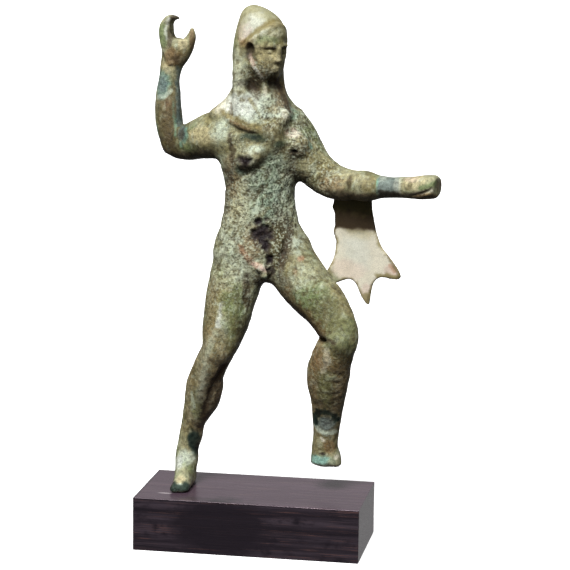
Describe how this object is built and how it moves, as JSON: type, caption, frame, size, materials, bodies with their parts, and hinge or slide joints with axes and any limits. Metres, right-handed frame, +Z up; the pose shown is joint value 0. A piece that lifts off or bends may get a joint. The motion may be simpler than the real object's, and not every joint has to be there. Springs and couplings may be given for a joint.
{
  "type": "etruscan votive bronze statuette",
  "caption": "Striding nude bronze hero in a lion-skin hood, one arm raised and one stretched out, left foot lost, on a dark wooden block.",
  "frame": {"origin": "middle of the plinth's underside", "axes": "+Z up, -Y the figure's front side, +X to the viewer's right along the plinth's length, towards the stretched left arm"},
  "size_m": [0.1053, 0.04, 0.1905],
  "materials": {
    "bronze": "cast bronze with a matt, pitted patina in olive, grey-green and pale mint",
    "wood": "dark stained wood, fine straight grain along the length, waxed to a soft sheen"
  },
  "bodies": {
    "root": {"figure": "bronze", "plinth": "wood"}
  },
  "joints": []
}
